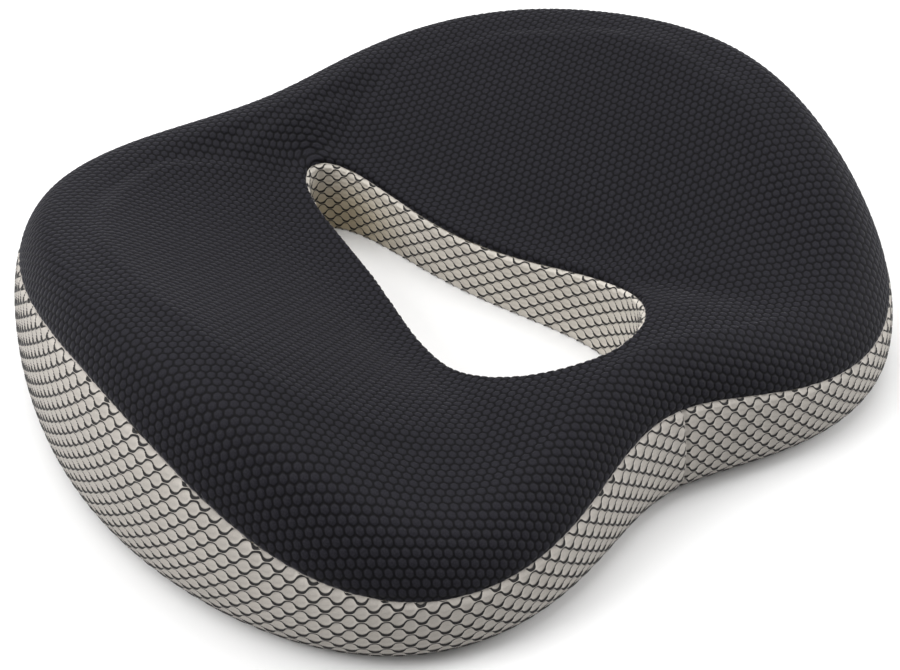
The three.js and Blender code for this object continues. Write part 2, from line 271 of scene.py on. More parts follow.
def cellRelief(x, y):
    # 0 in the channels, 1 on the cells: distance to the side of the nearest six-sided cell, two interleaved
    # rectangular lattices giving the centres
    wide, tall = cell["pitch"] * math.sqrt(3), cell["pitch"]

    def local(shiftX, shiftY):
        return (x + shiftX) % wide - wide / 2, (y + shiftY) % tall - tall / 2
    ax, ay = local(0, 0)
    bx, by = local(wide / 2, tall / 2)
    nearer = ax * ax + ay * ay < bx * bx + by * by
    cx, cy = np.abs(np.where(nearer, ax, bx)), np.abs(np.where(nearer, ay, by))
    edge = tall / 2 - np.maximum(cy, cx * math.sqrt(3) / 2 + cy / 2)
    share = np.clip(edge / (tall / 2 * 0.6), 0, 1)
    return share * share * (3 - 2 * share)


# ---- cloth simulation of the cover on a coarse ring, whose swelling the fine panels then take

cloth = {
    "columns": 288,
    "inset": 1.2 * mm,       # starts this far inside the finished surface
    "settings": {
        "quality": 6,
        "mass": 0.25,
        "tension_stiffness": 18,
        "compression_stiffness": 18,
        "bending_stiffness": 0.8,
        "use_pressure": True,
        "uniform_pressure_force": 4.0,
        "vertex_group_mass": "sewn",
    },
    "frames": 20,
    "drop": 0.9 * mm,        # the foam is right below, so no part sinks further than this
    "cap": 2.0 * mm,         # or swells further than this
    "smoothing": 10,         # a taut cover keeps no small wrinkles
}


def simulateCover():
    turns = frontTurn + np.arange(cloth["columns"]) * 2 * math.pi / cloth["columns"]
    seam = 1 + around("seamShare", turns)
    rimSeam = 3 + ring["rimSeam"]
    # stations thicker on the shoulder and slope, with lines exactly on both seams
    parts = [(0, 1, 8), (1, None, 9), (None, 2, 9), (2, 3, 22), (3, rimSeam, 3), (rimSeam, 4, 2), (4, 5, 7)]
    columns = [np.zeros(len(turns))]
    seamRow = rimRow = 0
    for low, high, steps in parts:
        low = seam if low is None else np.full(len(turns), float(low))
        high = seam if high is None else np.full(len(turns), float(high))
        columns += [low + (high - low) * k / steps for k in range(1, steps + 1)]
        if high is seam:
            seamRow = len(columns) - 1
        if high[0] == rimSeam:
            rimRow = len(columns) - 1
    stations = np.stack(columns, 1)
    rest = coverSurface(turns, stations)
    normal = gridNormals(rest)
    start = rest - normal * cloth["inset"]
    n, m = stations.shape
    grid = np.arange(n * m).reshape(n, m)
    ahead = np.roll(grid, -1, 0)
    faces = quads(grid[:, :-1], ahead[:, :-1], ahead[:, 1:], grid[:, 1:])
    floor = np.stack([grid[:, -1], ahead[:, -1], ahead[:, 0], grid[:, 0]], -1)        # closes the ring below
    piece = makeMesh("coverCloth", start.reshape(-1, 3), [faces, floor])
    pins = piece.vertex_groups.new(name="sewn")
    sewn = np.concatenate([grid[:, k] for k in (0, 1, seamRow, rimRow, m - 2, m - 1)])
    pins.add([int(k) for k in sewn], 1.0, "REPLACE")
    modifier = piece.modifiers.new("cloth", "CLOTH")
    settings = modifier.settings
    for label, value in cloth["settings"].items():
        setattr(settings, label, value)
    settings.effector_weights.gravity = 0
    modifier.collision_settings.use_collision = False
    scene = bpy.context.scene
    for k in range(1, cloth["frames"] + 1):
        scene.frame_set(k)
    evaluated = piece.evaluated_get(bpy.context.evaluated_depsgraph_get())
    settled = np.empty(n * m * 3, np.float32)
    evaluated.to_mesh().vertices.foreach_get("co", settled)
    scene.frame_set(1)
    bpy.data.objects.remove(piece, do_unlink=True)
    out = ((settled.reshape(n, m, 3) - rest) * normal).sum(-1)
    for _ in range(cloth["smoothing"]):
        out = (out + np.roll(out, 1, 0) + np.roll(out, -1, 0)) / 3
        out[:, 1:-1] = out[:, 1:-1] * 0.5 + (out[:, 2:] + out[:, :-2]) * 0.25
    print("cloth: out", round(float(out.min()) * 1000, 2), round(float(out.mean()) * 1000, 2),
          round(float(out.max()) * 1000, 2), "mm")
    return turns, stations, np.clip(out, -cloth["drop"], cloth["cap"])


clothTurns, clothStations, clothOut = simulateCover()


def swellAt(turn, station):
    # swelling of the simulated cover at any turn and station, read off its grid by a smooth local blend
    n = len(clothTurns)
    place = ((turn - frontTurn) / (2 * math.pi) * n) % n
    low = np.floor(place).astype(int) % n
    share = (place - np.floor(place))[:, None]
    share = share * share * (3 - 2 * share)
    rows = [np.stack([np.interp(station[k], clothStations[c], clothOut[c]) for k, c in enumerate(column)])
            for column in (low, (low + 1) % n)]
    return rows[0] * (1 - share) + rows[1] * share


# ---- fabric panels

panel = {
    "thickness": 3.0 * mm,
    "groove": 1.1 * mm,       # depth of the valley along a seam
    "grooveWidth": 1.7 * mm,
    "clear": 0.15 * mm,       # lowest point above the floor
    "beadSink": 0.6,          # share of the bead relief that lies below the cover surface
    "cellSink": 0.5,
    "coarse": 8,
}


def seamValley(distance):
    # a bell-shaped valley over a seam
    return -panel["groove"] * np.exp(-(distance / panel["grooveWidth"]) ** 2)


def stationRows(turns, low, high, count):
    # rows of stations from low to high, spaced evenly in distance over the surface
    fine = low[:, None] + (high - low)[:, None] * np.linspace(0, 1, 241)
    run = lengthAcross(coverSurface(turns, fine))
    even = np.linspace(0, 1, count + 1)
    return np.stack([np.interp(even * run[k, -1], run[k], fine[k]) for k in range(len(turns))])


def panelSurface(turns, stations):
    # cover surface plus the simulated swelling, and the distance across from its first row
    base = coverSurface(turns, stations)
    base = base + gridNormals(base) * swellAt(turns, stations)[..., None]
    return base, gridNormals(base), lengthAcross(base)


def closeRound(grid):
    # repeats the first column at the end
    return np.concatenate([grid, grid[:1]], 0)


def evenCount(perimeter, beadLength):
    # columns for a whole number of beads, a few to each, in whole steps of the coarse inner face
    count = int(round(perimeter / beadLength)) * 12
    return count + -count % panel["coarse"]


def panelSheet(name, nodeName, outer, u, v):
    # closed panel that stands for a node, kept just above the floor
    outer[..., 2] = np.maximum(outer[..., 2], panel["clear"])
    piece = closedSheet(name, outer, np.stack([u, v], -1), panel["thickness"], panel["coarse"])
    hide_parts(nodeName)
    print(name + ":", len(piece.data.polygons), "faces")
    return piece


def beadedPanel(name, nodeName, base, normal, s, t, edges):
    height = bead["relief"] * (beadRelief(s, t)[:-1] - panel["beadSink"])
    return panelSheet(name, nodeName, base + normal * (height + edges)[..., None], s, t)


def clothRun(turns, perimeter, name):
    # unstretched length of mesh at each column: distance round the ring divided by the local stretch, summed
    pulled = around(name, turns) * mm / bead["pitch"]
    steps = perimeter / len(turns) / ((pulled + np.roll(pulled, -1)) / 2)
    return np.concatenate([[0], np.cumsum(steps)])


def sideBand():
    spec = {"across": 128, "beadLength": 9.3 * mm, "skew": 1.7 * mm,
            "start": frontTurn + 0.053, "slant": 0.09, "slantFrom": 0.62, "waistLift": 0.14, "waistRun": 0.12}
    count = evenCount(evenTurns(8, 1, spec["start"])[1], spec["beadLength"])
    turns, perimeter = evenTurns(count, 1, spec["start"])
    seam = 1 + around("seamShare", turns)
    rows = stationRows(turns, np.zeros(count), seam - 0.002, spec["across"])
    base, normal, across = panelSurface(turns, rows)
    along = np.arange(count + 1)[:, None] / count * perimeter
    # rows lean off the lower edge: steadily over the last part of the run, and in one low arch from its start
    arch = spec["waistLift"] * along * np.clip(1 - along / spec["waistRun"], 0, 1)
    lean = spec["slant"] * np.maximum(along - spec["slantFrom"] * perimeter, 0) - arch
    both = np.append(turns, turns[0])
    high, low = (around(name, both)[:, None] * mm for name in ("sideRowHigh", "sideRowLow"))
    up = closeRound(across)
    share = up / up[:, -1:]
    # rows counted up from the lower edge while their spacing grows steadily from low to high
    growth = np.maximum(high - low, 0.05 * mm)
    counted = bead["row"] * up[:, -1:] / growth * np.log(1 + growth / low * share)
    t = counted + spec["skew"] * along / perimeter - lean
    s = np.broadcast_to(clothRun(turns, perimeter, "sideStretch")[:, None], t.shape)
    toEnd = np.minimum(along, perimeter - along)[:-1]    # the two ends meet at the front
    edges = seamValley(across[:, -1:] - across) + seamValley(across) + seamValley(toEnd)
    return beadedPanel("sideBandMesh", "side_band", base, normal, s, t, edges)


def holeBand():
    spec = {"across": 84, "beadLength": 8.5 * mm, "start": math.radians(118),
            "lift": 0.4 * mm, "rowScale": 1.05}
    count = evenCount(evenTurns(8, 5, spec["start"])[1], spec["beadLength"])
    turns, perimeter = evenTurns(count, 5, spec["start"])
    wall = (around("rimHeight", turns) - ring["rimRadius"]) * ringScale
    foot = 5 - spec["lift"] / wall
    rows = stationRows(turns, np.full(count, 3 + ring["rimSeam"] + 0.03), foot, spec["across"])
    base, normal, across = panelSurface(turns, rows)
    along = np.arange(count)[:, None] / count * perimeter
    t = closeRound((across[:, -1:] - across) * spec["rowScale"])      # rows run level with the foot
    s = np.broadcast_to(clothRun(turns, perimeter, "holeStretch")[:, None], t.shape)
    edges = seamValley(across) + seamValley(np.minimum(along, perimeter - along))
    return beadedPanel("holeBandMesh", "hole_band", base, normal, s, t, edges)


def topPanel():
    spec = {"columns": 1680, "across": 184}
    count = spec["columns"]
    turns = evenTurns(count, 2, frontTurn)[0]
    seam = 1 + around("seamShare", turns)
    rows = stationRows(turns, seam + 0.002, np.full(count, 3 + ring["rimSeam"] - 0.03), spec["across"])
    base, normal, across = panelSurface(turns, rows)
    # the cloth's own plane: the crest line in plan, and from there the distance over the surface
    crest = coverSurface(turns, np.full((count, 1), 2.0))[:, 0]
    tangent = np.roll(crest, -1, 0) - np.roll(crest, 1, 0)
    outward = unit(np.stack([tangent[:, 1], -tangent[:, 0]], -1))
    crestRun = np.array([np.interp(2.0, rows[k], across[k]) for k in range(count)])
    beyond = crestRun[:, None] - across                  # positive outside the crest
    beyond = np.where(beyond > 0, beyond * cell["shoulder"], beyond)
    foot = coverSurface(turns, np.full((count, 1), 3.0))[:, 0]
    inwardRun = unit(crest[:, :2] - foot[:, :2])
    direction = np.where((beyond > 0)[..., None], outward[:, None], inwardRun[:, None])
    plane = crest[:, None, :2] + direction * beyond[..., None]
    x, y = plane[..., 0], plane[..., 1]
    height = cell["relief"] * (cellRelief(x, y) - panel["cellSink"])
    edges = seamValley(across) + seamValley(across[:, -1:] - across)
    outer = base + normal * (height + edges)[..., None]
    return panelSheet("topPanelMesh", "top_panel", outer, closeRound(x), closeRound(y))


sideBandPiece = sideBand()
holeBandPiece = holeBand()
topPanelPiece = topPanel()


# ---- shader helpers

class Nodes:
    # short way to write a chain of maths nodes in one tree
    def __init__(self, tree):
        self.tree = tree

    def put(self, kind, **settings):
        node = self.tree.nodes.new(kind)
        for name, value in settings.items():
            setattr(node, name, value)
        return node

    def plug(self, value, socket):
        if isinstance(value, bpy.types.NodeSocket):
            self.tree.links.new(value, socket)
        else:
            socket.default_value = value

    def math(self, operation, *values, clamp=False):
        node = self.put("ShaderNodeMath", operation=operation, use_clamp=clamp)
        for value, socket in zip(values, node.inputs):
            self.plug(value, socket)
        return node.outputs[0]

    def plus(self, first, second):
        return self.math("ADD", first, second)

    def minus(self, first, second):
        return self.math("SUBTRACT", first, second)

    def times(self, first, second):
        return self.math("MULTIPLY", first, second)

    def over(self, first, second):
        return self.math("DIVIDE", first, second)

    def size(self, value):
        return self.math("ABSOLUTE", value)

    def split(self, vector):
        # its three numbers
        node = self.put("ShaderNodeSeparateXYZ")
        self.plug(vector, node.inputs[0])
        return node.outputs

    def mix(self, factor, first, second):
        node = self.put("ShaderNodeMix", data_type="RGBA")
        for value, socket in ((factor, node.inputs[0]), (first, node.inputs[6]), (second, node.inputs[7])):
            self.plug(value, socket)
        return node.outputs[2]

    def noise(self, vector, scale, detail=2.0, roughness=0.5):
        node = self.put("ShaderNodeTexNoise")
        self.tree.links.new(vector, node.inputs["Vector"])
        node.inputs["Scale"].default_value = scale
        node.inputs["Detail"].default_value = detail
        node.inputs["Roughness"].default_value = roughness
        return node.outputs["Fac"]

    def ramp(self, value, low, high, fromValue=0.0, toValue=1.0):
        node = self.put("ShaderNodeMapRange", interpolation_type="SMOOTHSTEP")
        for item, socket in zip((value, low, high, fromValue, toValue), node.inputs):
            self.plug(item, socket)
        return node.outputs[0]


def newGroup(name, inputs, outputs):
    tree = bpy.data.node_groups.new(name, "ShaderNodeTree")
    for label, kind in inputs:
        tree.interface.new_socket(name=label, in_out="INPUT", socket_type=kind)
    for label, kind in outputs:
        tree.interface.new_socket(name=label, in_out="OUTPUT", socket_type=kind)
    nodes = Nodes(tree)
    return nodes, nodes.put("NodeGroupInput").outputs, nodes.put("NodeGroupOutput").inputs


number, vector = "NodeSocketFloat", "NodeSocketVector"


def beadGroup():
    # the same border lines as beadRelief: line is 1 on a border and over the edge of the bead beside it, puff
    # rises from 0 there to 1 in a bead's middle, neck is 1 on the raised necks
    nodes, given, result = newGroup(
        "beadedMesh",
        [("Cloth", vector), ("Pitch", number), ("Row", number), ("Swell", number), ("Neck line", number),
         ("Bead line", number)],
        [("Line", number), ("Puff", number), ("Neck", number)])
    s, t = nodes.split(given["Cloth"])[:2]
    phase = nodes.times(nodes.over(s, given["Pitch"]), 2 * math.pi)
    flat = nodes.math("TANH", nodes.times(nodes.math("COSINE", phase), 1.5))
    beat = nodes.over(flat, math.tanh(1.5))
    swing = nodes.times(beat, given["Swell"])
    double = nodes.times(given["Row"], 2.0)
    low = nodes.plus(nodes.minus(t, swing), given["Row"])
    even = nodes.minus(nodes.math("FLOORED_MODULO", low, double), given["Row"])
    high = nodes.plus(t, swing)
    odd = nodes.minus(nodes.math("FLOORED_MODULO", high, double), given["Row"])
    evenFar, oddFar = nodes.size(even), nodes.size(odd)
    near = nodes.math("MINIMUM", evenFar, oddFar)
    # sign is 1 above an even line and below an odd one, else -1
    pick = nodes.math("LESS_THAN", evenFar, oddFar)
    sign = nodes.minus(nodes.times(nodes.math("SIGN", even), pick),
                      nodes.times(nodes.math("SIGN", odd), nodes.minus(1.0, pick)))
    bulge = nodes.minus(0.5, nodes.times(nodes.times(beat, sign), 0.5))
    slant = nodes.times(nodes.math("SINE", phase), 0.95)
    lean = nodes.math("SQRT", nodes.plus(nodes.times(slant, slant), 1.0))
    across = nodes.over(near, lean)
    extra = nodes.times(nodes.minus(given["Bead line"], given["Neck line"]), bulge)
    width = nodes.plus(given["Neck line"], extra)
    inside = nodes.ramp(across, nodes.times(width, 0.7), nodes.times(width, 1.15), 1.0, 0.0)
    nodes.plug(inside, result["Line"])
    reach = nodes.plus(nodes.times(given["Row"], 0.5), given["Swell"])
    nodes.plug(nodes.math("DIVIDE", near, reach, clamp=True), result["Puff"])
    nodes.plug(nodes.ramp(bulge, 0.1, 0.5, 1.0, 0.0), result["Neck"])
    return nodes.tree


def cellGroup():
    # the same six-sided cells as cellRelief: gap is 1 in the channels, puff rises from 0 there to 1 on a cell
    nodes, given, result = newGroup("honeycombMesh", [("Cloth", vector), ("Pitch", number), ("Gap", number)],
                                    [("Gap", number), ("Puff", number)])
    x, y = nodes.split(given["Cloth"])[:2]
    tall = given["Pitch"]
    wide = nodes.times(tall, math.sqrt(3))
    halfTall, halfWide = nodes.times(tall, 0.5), nodes.times(wide, 0.5)

    def local(value, size, half, shifted):
        moved = nodes.plus(value, half) if shifted else value
        return nodes.size(nodes.minus(nodes.math("FLOORED_MODULO", moved, size), half))

    def depth(shifted):
        cx, cy = local(x, wide, halfWide, shifted), local(y, tall, halfTall, shifted)
        slant = nodes.plus(nodes.times(cx, math.sqrt(3) / 2), nodes.times(cy, 0.5))
        straight = nodes.math("MAXIMUM", cy, slant)
        reach = nodes.math("SQRT", nodes.plus(nodes.times(cx, cx), nodes.times(cy, cy)))
        return nodes.plus(nodes.times(straight, 0.55), nodes.times(reach, 0.43))
    edge = nodes.minus(halfTall, nodes.math("MINIMUM", depth(False), depth(True)))
    half = nodes.times(given["Gap"], 0.5)
    nodes.plug(nodes.ramp(edge, nodes.times(half, 0.4), nodes.times(half, 1.7), 1.0, 0.0), result["Gap"])
    nodes.plug(nodes.ramp(edge, 0.0, nodes.times(halfTall, 0.6), 0.0, 1.0), result["Puff"])
    return nodes.tree


def knitGroup():
    # fine knitted yarn: crossed ribs in the cloth's own coordinates with a little noise, as a height
    nodes, given, result = newGroup("knit", [("Cloth", vector), ("Stitch", number)], [("Height", number)])
    waves = [nodes.math("SINE", nodes.times(nodes.over(part, given["Stitch"]), 2 * math.pi))
             for part in nodes.split(given["Cloth"])[:2]]
    ribs = nodes.times(*waves)
    fuzz = nodes.noise(given["Cloth"], 2600.0, 2.0)
    nodes.plug(nodes.plus(nodes.times(ribs, 0.5), fuzz), result["Height"])
    return nodes.tree


groups = {"bead": beadGroup(), "cell": cellGroup(), "knit": knitGroup()}


def setValues(shader, **values):
    for name, value in values.items():
        shader.inputs[name.replace("_", " ")].default_value = value


def newMaterial(name, roughness, metallic=0.0):
    material = bpy.data.materials.new(name)
    material.use_nodes = True
    nodes = Nodes(material.node_tree)
    shader = material.node_tree.nodes["Principled BSDF"]
    setValues(shader, Roughness=roughness, Metallic=metallic)
    return material, nodes, shader


def useGroup(nodes, key, **values):
    node = nodes.put("ShaderNodeGroup", node_tree=groups[key])
    for name, value in values.items():
        nodes.plug(value, node.inputs[name.replace("_", " ")])
    return node.outputs


def clothCoordinates(nodes):
    return nodes.put("ShaderNodeUVMap", uv_map="cloth").outputs[0]


def bump(nodes, shader, height, distance, strength=1.0):
    node = nodes.put("ShaderNodeBump")
    node.inputs["Strength"].default_value = strength
    node.inputs["Distance"].default_value = distance
    nodes.plug(height, node.inputs["Height"])
    nodes.plug(node.outputs[0], shader.inputs["Normal"])


greyFabric = {
    "light": (0.50, 0.466, 0.426, 1),    # painted light on necks and rims
    "shade": (0.24, 0.220, 0.200, 1),    # painted shade at the sunk edges of a bead
    # the hole band's copy of the same cloth, painted lighter than the side band's to stand for the light
    # inside the hole
    "holeLight": (0.64, 0.60, 0.54, 1),
    "holeShade": (0.38, 0.348, 0.30, 1),
    "holeWarmShade": (0.50, 0.42, 0.27, 1),
    "line": (0.013, 0.012, 0.012, 1),
}


def greyMaterial(name, light, shade, deep=None):
    # deep is a painted warm shade low at the narrow end of the hole, where little light gets in
    material, nodes, shader = newMaterial(name, 0.72)
    place = clothCoordinates(nodes)
    beads = useGroup(nodes, "bead", Cloth=place, Pitch=bead["pitch"], Row=bead["row"], Swell=bead["swell"],
                     Neck_line=bead["neckLine"], Bead_line=bead["beadLine"])
    drift = nodes.noise(place, 26.0, 3.0)
    speckle = nodes.noise(place, 1500.0, 2.0)
    # painted light on the necks and in a pale rim inside each line, painted shade at a bead's edges and in
    # its middle; drift and speckle are random tone
    rim = nodes.math("MAXIMUM", nodes.ramp(beads["Puff"], 0.04, 0.35), beads["Neck"])
    rim = nodes.minus(rim, nodes.times(nodes.ramp(beads["Puff"], 0.45, 0.9), 0.2))
    tone = nodes.plus(rim, nodes.times(drift, 0.4))
    tone = nodes.math("SUBTRACT", tone, nodes.times(speckle, 0.4), clamp=True)
    body = nodes.mix(tone, shade, light)
    if deep:
        # painted warm shade, stronger towards the back of the hole and low down
        parts = nodes.split(nodes.put("ShaderNodeTexCoord").outputs["Object"])
        back = nodes.ramp(parts[1], 0.05, 0.11, 0.0, 0.8)
        low = nodes.ramp(parts[2], 0.01, 0.045, 1.0, 0.0)
        body = nodes.mix(nodes.times(back, low), body, deep)
    nodes.plug(nodes.mix(beads["Line"], body, greyFabric["line"]), shader.inputs["Base Color"])
    nodes.plug(nodes.plus(nodes.times(speckle, 0.2), 0.58), shader.inputs["Roughness"])
    knit = useGroup(nodes, "knit", Cloth=place, Stitch=0.55 * mm)["Height"]
    height = nodes.minus(nodes.times(knit, 0.12), nodes.times(beads["Line"], 0.5))
    bump(nodes, shader, height, 0.4 * mm, 0.7)
    setValues(shader, Sheen_Weight=0.12, Sheen_Roughness=0.45, Specular_IOR_Level=0.3)
    return material


blackFabric = {
    "cell": (0.0094, 0.0089, 0.0128, 1),
    "cellPale": (0.0200, 0.0192, 0.0252, 1),
    "gap": (0.0014, 0.0012, 0.0022, 1),
}


def blackMaterial():
    material, nodes, shader = newMaterial("blackHoneycombMesh", 0.75)
    place = clothCoordinates(nodes)
    cells = useGroup(nodes, "cell", Cloth=place, Pitch=cell["pitch"], Gap=cell["gap"])
    drift = nodes.noise(place, 18.0, 3.0)
    speckle = nodes.noise(place, 1300.0, 3.0, 0.7)
    tone = nodes.math("MULTIPLY", nodes.ramp(speckle, 0.35, 0.75), nodes.plus(drift, 0.35), clamp=True)
    body = nodes.mix(tone, blackFabric["cell"], blackFabric["cellPale"])
    nodes.plug(nodes.mix(cells["Gap"], body, blackFabric["gap"]), shader.inputs["Base Color"])
    nodes.plug(nodes.plus(nodes.times(speckle, 0.2), 0.6), shader.inputs["Roughness"])
    knit = useGroup(nodes, "knit", Cloth=place, Stitch=0.45 * mm)["Height"]
    height = nodes.plus(nodes.times(knit, 0.1), nodes.times(cells["Puff"], 0.5))
    bump(nodes, shader, height, 0.45 * mm, 0.7)
    setValues(shader, Sheen_Weight=0.17, Sheen_Roughness=0.3, Sheen_Tint=(0.85, 0.85, 0.92, 1),
              Specular_IOR_Level=0.14)
    return material


materials = {
    "grey": greyMaterial("greyBeadedMesh", greyFabric["light"], greyFabric["shade"]),
    # the hole band's copy is painted lighter, as the light inside the hole
    "holeGreyPaintedLight": greyMaterial("greyBeadedMeshInsidePaintedLight", greyFabric["holeLight"], greyFabric["holeShade"],
                             greyFabric["holeWarmShade"]),
    "black": blackMaterial(),
}


# ---- foam

foam = {
    "columns": 288,
    "under": 3.45 * mm,       # below the face of the cover
    "floor": 3.7 * mm,
    "slit": 0.0045,           # half the angle left open behind the hole
    "channelHalf": (0.1283, 0.0173),
    "channelAt": 0.146,
    "channelTop": 8.1 * mm,
    "paintedShadeReach": 4 * mm,         # how far the painted shade over the channel runs past it
}


def foamCore():
    # ring with two flat ends that face each other across the slit: cover surface moved inward, closed by a
    # flat floor whose strip over the zip is raised
    turns = math.pi / 2 + foam["slit"] + np.linspace(0, 1, foam["columns"]) * (2 * math.pi - 2 * foam["slit"])
    stations = np.concatenate([np.linspace(0.42, 1, 6), np.linspace(1, 2, 12)[1:], np.linspace(2, 3, 16)[1:],
                               np.linspace(3, 4, 5)[1:], np.linspace(4, 4.94, 6)[1:]])
    shell = coverSurface(turns, np.broadcast_to(stations, (len(turns), len(stations))))
    shell = shell - gridNormals(shell, closed=False) * foam["under"]
    low, high = shell[:, -1].copy(), shell[:, 0].copy()
    low[:, 2] = high[:, 2] = foam["floor"]
    shell[..., 2] = np.maximum(shell[..., 2], foam["floor"])
    share = np.linspace(0, 1, 26)[None, :, None]
    under = low[:, None] * (1 - share) + high[:, None] * share
    inset = [(half - np.abs(under[..., k] - (foam["channelAt"] if k else 0))) / (1.2 * mm)
             for k, half in enumerate(foam["channelHalf"])]
    rise = np.clip(np.minimum(*inset), 0, 1)
    under[..., 2] += (foam["channelTop"] - foam["floor"]) * rise * rise * (3 - 2 * rise)
    points = np.concatenate([shell, under], 1)
    n, m = points.shape[:2]
    grid = np.arange(n * m).reshape(n, m)
    after = np.roll(grid, -1, 1)
    sides = quads(grid[:-1], grid[1:], after[1:], after[:-1])
    piece = makeMesh("foamCoreMesh", points.reshape(-1, 3), [sides, grid[:1], grid[-1:, ::-1]])
    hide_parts("foam_core")
    return piece


# ---- fabric base, remade from its nodes as rounded cloth

base = {
    "voxel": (1.5 * mm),
    "rounds": 3,
    "thickness": 3.4 * mm,
    "lift": 0.55 * mm,        # the grip dots stand between the cloth and the floor
    "holeGap": 1.6 * mm,
}


def reshapedCopy(name, nodeName, modifiers):
    # copy of a node's mesh with a list of modifiers applied, standing for the node
    piece = placed(name + "Raw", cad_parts[nodeName].data.copy())
    for kind, settings in modifiers:
        modifier = piece.modifiers.new(kind.lower(), kind)
        for label, value in settings.items():
            setattr(modifier, label, value)
    evaluated = piece.evaluated_get(bpy.context.evaluated_depsgraph_get())
    mesh = bpy.data.meshes.new_from_object(evaluated)
    mesh.name = name
    mesh.materials.clear()
    bpy.data.objects.remove(piece, do_unlink=True)
    mesh.polygons.foreach_set("use_smooth", np.ones(len(mesh.polygons), bool))
    result = placed(name, mesh)
    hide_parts(nodeName)
    return result


def softCopy(name, nodeName):
    # remeshed and smoothed, so that its edges are round
    return reshapedCopy(name, nodeName, [
        ("REMESH", {"mode": "VOXEL", "voxel_size": base["voxel"]}),
        ("SMOOTH", {"factor": 0.5, "iterations": base["rounds"]})])


def hardCopy(name, nodeName, width):
    # triangles merged and edges rounded
    return reshapedCopy(name, nodeName, [
        ("WELD", {"merge_threshold": 0.01 * mm}),
        ("DECIMATE", {"decimate_type": "DISSOLVE", "angle_limit": math.radians(3)}),
        ("BEVEL", {"width": width, "segments": 3, "limit_method": "ANGLE", "angle_limit": math.radians(35),
                   "harden_normals": True})])


def liftUnderside(piece):
    # moves the lowest vertices up by the lift, fading to nothing at the upper face
    points = meshPoints(piece)
    points[:, 2] += base["lift"] * np.clip(1 - points[:, 2] / base["thickness"], 0, 1)
    movePoints(piece, points)


def clearOfHole(piece, gap):
    # moves each vertex near the hole's foot out along the hole's own normal until it is the gap from it
    turns = np.linspace(-math.pi, math.pi, 720, endpoint=False)
    line = coverSurface(turns, np.full((len(turns), 1), 5.0))[:, 0, :2]
    along = np.roll(line, -1, 0) - np.roll(line, 1, 0)
    outward = unit(np.stack([along[:, 1], -along[:, 0]], -1))
    points = meshPoints(piece)
    near = np.nonzero((np.abs(points[:, 0]) < 0.08) & (np.abs(points[:, 1] - holeCentre) < 0.13))[0]
    apart = points[near, None, :2] - line[None]
    nearest = (apart ** 2).sum(-1).argmin(1)
    offset = (apart[np.arange(len(near)), nearest] * outward[nearest]).sum(-1)
    push = np.where(np.abs(offset) < 6 * mm, np.maximum(gap - offset, 0), 0) * np.clip(2 - offset / gap, 0, 1)
    points[near, :2] += outward[nearest] * push[:, None]
    movePoints(piece, points)


# ---- shapes swept along lines, many copies in one mesh

def roundSection(count, radius):
    # circle of a few points, wound so that the swept faces look outward
    angle = -np.arange(count) * 2 * math.pi / count
    return np.stack([np.cos(angle), np.sin(angle)], -1) * radius


def stripSection(width, thickness, count=24):
    # flat strip with rounded edges: powers of a cosine and a sine, stretched to width and thickness
    angle = -np.arange(count) * 2 * math.pi / count
    c, s = np.cos(angle), np.sin(angle)
    across, up = np.sign(c) * np.abs(c) ** 0.34, np.sign(s) * np.abs(s) ** 0.8
    return np.stack([across * width / 2, up * thickness / 2], -1)


def tubeFaces(copies, n, k):
    # vertex numbers of tubes of n rings of k points, the same turned one point on, and the side faces
    grid = np.arange(copies * n * k).reshape(copies, n, k)
    after = np.roll(grid, -1, 2)
    return grid, after, quads(grid[:, :-1], after[:, :-1], after[:, 1:], grid[:, 1:])


def sweep(name, paths, section, up=(0, 0, 1), scale=None):
    # tube round each path (copies, n, 3): section point times the side and up directions, closed by a cap at
    # each end
    paths = np.asarray(paths, float)
    tangent = unit(np.gradient(paths, axis=1))
    side = unit(np.cross(tangent, np.broadcast_to(np.array(up, float), tangent.shape)))
    rise = np.cross(side, tangent)
    size = np.ones(paths.shape[:2]) if scale is None else scale
    offset = side[:, :, None] * section[:, 0, None] + rise[:, :, None] * section[:, 1, None]
    points = paths[:, :, None] + offset * size[:, :, None, None]
    grid, _, sides = tubeFaces(*points.shape[:3])
    return makeMesh(name, points.reshape(-1, 3), [sides, grid[:, 0, ::-1], grid[:, -1]])


# ---- grip dots under the base

dots = {
    "pitch": 8.5 * mm,
    "radius": 1.9 * mm,
    "edge": 7 * mm,            # bare cloth along each edge
    "zipHalf": 14 * mm,        # and either side of the zip
    "rearHalf": 142 * mm,      # half the run of dots behind the zip
    "reach": (0.235, 0.2),     # half the lattice, before it is cut to the base
    "sides": 10,
}


